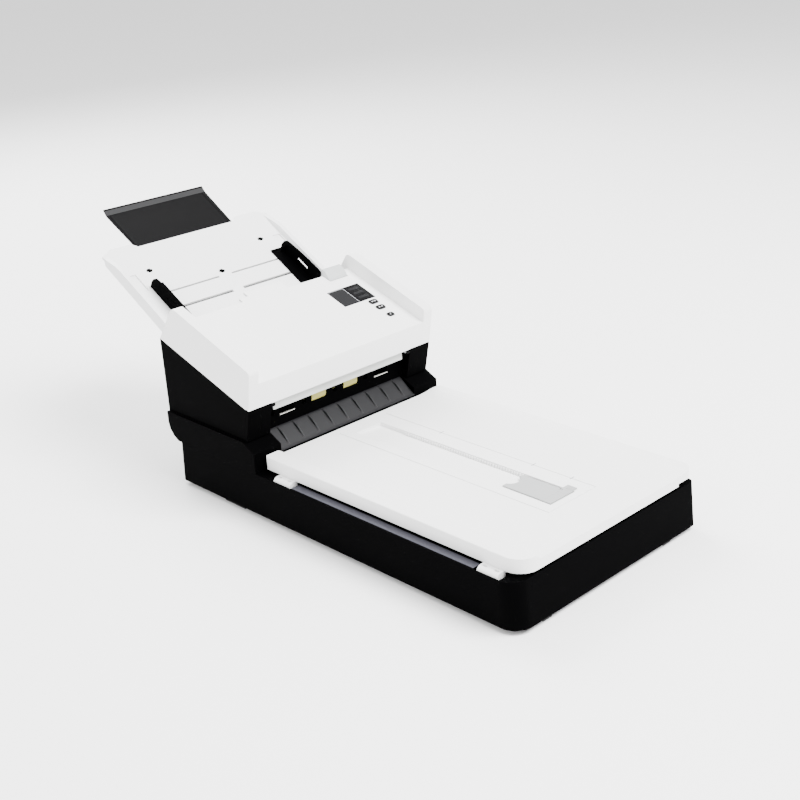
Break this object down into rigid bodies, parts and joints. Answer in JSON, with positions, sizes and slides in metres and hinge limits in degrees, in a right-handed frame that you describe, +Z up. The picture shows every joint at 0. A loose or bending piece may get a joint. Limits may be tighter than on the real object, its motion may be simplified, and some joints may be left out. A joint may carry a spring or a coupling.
{
  "type": "document scanner",
  "caption": "Flatbed scanner with a hinged lid and, behind it, a sheet feeder tower with an opening cover, sloping input tray and paper guides.",
  "frame": {"origin": "on the table, under the middle of the base tub's footprint", "axes": "+Z up, -Y towards the lid's front edge, +Y towards the feed tray, +X to the right seen from the front"},
  "size_m": [0.316, 0.8071, 0.3176],
  "materials": {
    "shell_black": "fine satin texture",
    "shell_white": "fine satin",
    "grey_plastic": "satin",
    "light_grey": "satin",
    "button_plastic": "satin",
    "display": "gloss",
    "clear_grey": "translucent",
    "glass": "clear",
    "foam_white": "soft",
    "rubber_black": "matte",
    "rubber_roller": "matte",
    "rubber_grey": "matte",
    "steel": "brushed",
    "motor_metal": "satin",
    "board": "solder mask"
  },
  "bodies": {
    "main_housing": {"base_tub": "shell_black", "base_plate": "shell_black", "rubber_feet": "rubber_black", "platen_glass": "glass", "calibration_strip": "shell_white", "guide_rod": "steel", "scan_motor": "motor_metal", "scan_belt": "rubber_black", "main_board": "board", "dc_inlet": "shell_black", "usb_socket": "steel", "switch_housing": "shell_black", "mid_housing": "shell_black", "exit_ramp": "grey_plastic", "side_cover_left": "shell_black", "side_cover_right": "shell_black", "rear_cover": "shell_black", "tower_frame": "shell_black", "lower_guide": "shell_black", "cis_lower": "shell_black", "adf_motor": "motor_metal", "drive_belts": "rubber_black", "hinge_pins": "steel", "case_screws": "steel", "feed_tray": "shell_white", "tray_bottom": "shell_white"},
    "scan_carriage": {"carriage_frame": "shell_black", "cis_flatbed": "shell_black"},
    "scan_drive_pulley": {"drive_pulley": "steel"},
    "scan_idler_pulley": {"idler_pulley": "steel"},
    "exit_roller_set": {"exit_shaft": "steel", "exit_rollers": "rubber_roller"},
    "feed_roller_set": {"feed_shaft": "steel", "feed_roller": "rubber_grey"},
    "pick_roller_set": {"pick_shaft": "steel", "pick_roller": "rubber_grey"},
    "motor_pulley": {"adf_motor_pulley": "steel"},
    "flatbed_lid": {"lid_shell": "shell_white", "lid_liner": "shell_white", "lid_pad": "foam_white", "lid_hinges": "shell_white"},
    "stopper": {"stopper_slider": "light_grey"},
    "flap": {"stopper_flap": "light_grey"},
    "feeder_cover": {"adf_cover": "shell_white", "upper_guide": "shell_black", "cis_upper": "shell_black", "exit_film": "clear_grey", "display_window": "display", "control_board": "board"},
    "scan_button": {"button_scan": "button_plastic"},
    "copy_button": {"button_copy": "button_plastic"},
    "power_button": {"button_power": "button_plastic"},
    "latch": {"release_latch": "clear_grey"},
    "pinch_set": {"pinch_rollers": "button_plastic"},
    "retard_set": {"retard_roller": "rubber_grey"},
    "guide_left": {"paper_guide_left": "shell_black"},
    "guide_right": {"paper_guide_right": "shell_black"},
    "pinion": {"guide_pinion": "shell_white"},
    "extension": {"extension_plate": "grey_plastic"},
    "rocker": {"power_rocker": "shell_black"}
  },
  "joints": [
    {"name": "lid_hinge", "type": "hinge", "parent": "main_housing", "child": "flatbed_lid", "pos_m": [-0.1485, 0, 0.0578], "axis": [0, -1, 0], "range_deg": [0, 95]},
    {"name": "stopper_slide", "type": "slide", "parent": "flatbed_lid", "child": "stopper", "axis": [0, 1, 0], "range_m": [0, 0.218]},
    {"name": "stopper_flip", "type": "hinge", "parent": "stopper", "child": "flap", "pos_m": [0.004, -0.203, 0.0754], "axis": [1, 0, 0], "range_deg": [0, 95]},
    {"name": "cover_hinge", "type": "hinge", "parent": "main_housing", "child": "feeder_cover", "pos_m": [0, 0.1375, 0.137], "axis": [1, 0, 0], "range_deg": [0, 60]},
    {"name": "scan_button_press", "type": "slide", "parent": "feeder_cover", "child": "scan_button", "axis": [0, 0.3266, -0.9452], "range_m": [0, 0.001], "stiffness_N_per_m": 300},
    {"name": "copy_button_press", "type": "slide", "parent": "feeder_cover", "child": "copy_button", "axis": [0, 0.3266, -0.9452], "range_m": [0, 0.001], "stiffness_N_per_m": 300},
    {"name": "power_button_press", "type": "slide", "parent": "feeder_cover", "child": "power_button", "axis": [0, 0.3266, -0.9452], "range_m": [0, 0.001], "stiffness_N_per_m": 300},
    {"name": "latch_hinge", "type": "hinge", "parent": "feeder_cover", "child": "latch", "pos_m": [0.11, 0.2665, 0.213], "axis": [1, 0, 0], "range_deg": [0, 12], "stiffness_Nm_per_rad": 0.5},
    {"name": "pinch_spin", "type": "hinge", "parent": "feeder_cover", "child": "pinch_set", "pos_m": [0, 0.162, 0.13475], "axis": [1, 0, 0], "continuous": true},
    {"name": "retard_spin", "type": "hinge", "parent": "feeder_cover", "child": "retard_set", "pos_m": [0, 0.2288, 0.1693], "axis": [1, 0, 0], "continuous": true},
    {"name": "exit_spin", "type": "hinge", "parent": "main_housing", "child": "exit_roller_set", "pos_m": [0, 0.1644, 0.118], "axis": [1, 0, 0], "continuous": true},
    {"name": "feed_spin", "type": "hinge", "parent": "main_housing", "child": "feed_roller_set", "pos_m": [0, 0.238, 0.1475], "axis": [1, 0, 0], "continuous": true},
    {"name": "pick_spin", "type": "hinge", "parent": "main_housing", "child": "pick_roller_set", "pos_m": [0, 0.268, 0.1635], "axis": [1, 0, 0], "continuous": true},
    {"name": "motor_spin", "type": "hinge", "parent": "main_housing", "child": "motor_pulley", "pos_m": [-0.145, 0.215, 0.112], "axis": [1, 0, 0], "continuous": true},
    {"name": "guide_left_slide", "type": "slide", "parent": "main_housing", "child": "guide_left", "axis": [1, 0, 0], "range_m": [0, 0.06]},
    {"name": "guide_right_slide", "type": "slide", "parent": "main_housing", "child": "guide_right", "axis": [-1, 0, 0], "range_m": [0, 0.06]},
    {"name": "pinion_spin", "type": "hinge", "parent": "main_housing", "child": "pinion", "pos_m": [0, 0.34797, 0.213], "axis": [0, -0.5, 0.866], "continuous": true},
    {"name": "extension_slide", "type": "slide", "parent": "main_housing", "child": "extension", "axis": [0, -0.866, -0.5], "range_m": [0, 0.068]},
    {"name": "carriage_slide", "type": "slide", "parent": "main_housing", "child": "scan_carriage", "axis": [0, -1, 0], "range_m": [0, 0.345]},
    {"name": "drive_pulley_spin", "type": "hinge", "parent": "main_housing", "child": "scan_drive_pulley", "pos_m": [0.03, 0.148, 0.017], "axis": [0, 0, 1], "continuous": true},
    {"name": "idler_pulley_spin", "type": "hinge", "parent": "main_housing", "child": "scan_idler_pulley", "pos_m": [0.03, -0.268, 0.017], "axis": [0, 0, 1], "continuous": true},
    {"name": "rocker_tilt", "type": "hinge", "parent": "main_housing", "child": "rocker", "pos_m": [0.099, 0.285, 0.025], "axis": [1, 0, 0], "range_deg": [-8, 8]}
  ],
  "couplings": [
    {"joint": "exit_spin", "follows": "feed_spin", "ratio": 1},
    {"joint": "pick_spin", "follows": "feed_spin", "ratio": 1},
    {"joint": "motor_spin", "follows": "feed_spin", "ratio": 1.3333},
    {"joint": "retard_spin", "follows": "feed_spin", "ratio": -1.1574},
    {"joint": "pinch_spin", "follows": "feed_spin", "ratio": -1.7667},
    {"joint": "guide_right_slide", "follows": "guide_left_slide", "ratio": 1},
    {"joint": "pinion_spin", "follows": "guide_left_slide", "rad_per_m": -119.05},
    {"joint": "drive_pulley_spin", "follows": "carriage_slide", "rad_per_m": -116.28},
    {"joint": "idler_pulley_spin", "follows": "carriage_slide", "rad_per_m": -116.28}
  ]
}
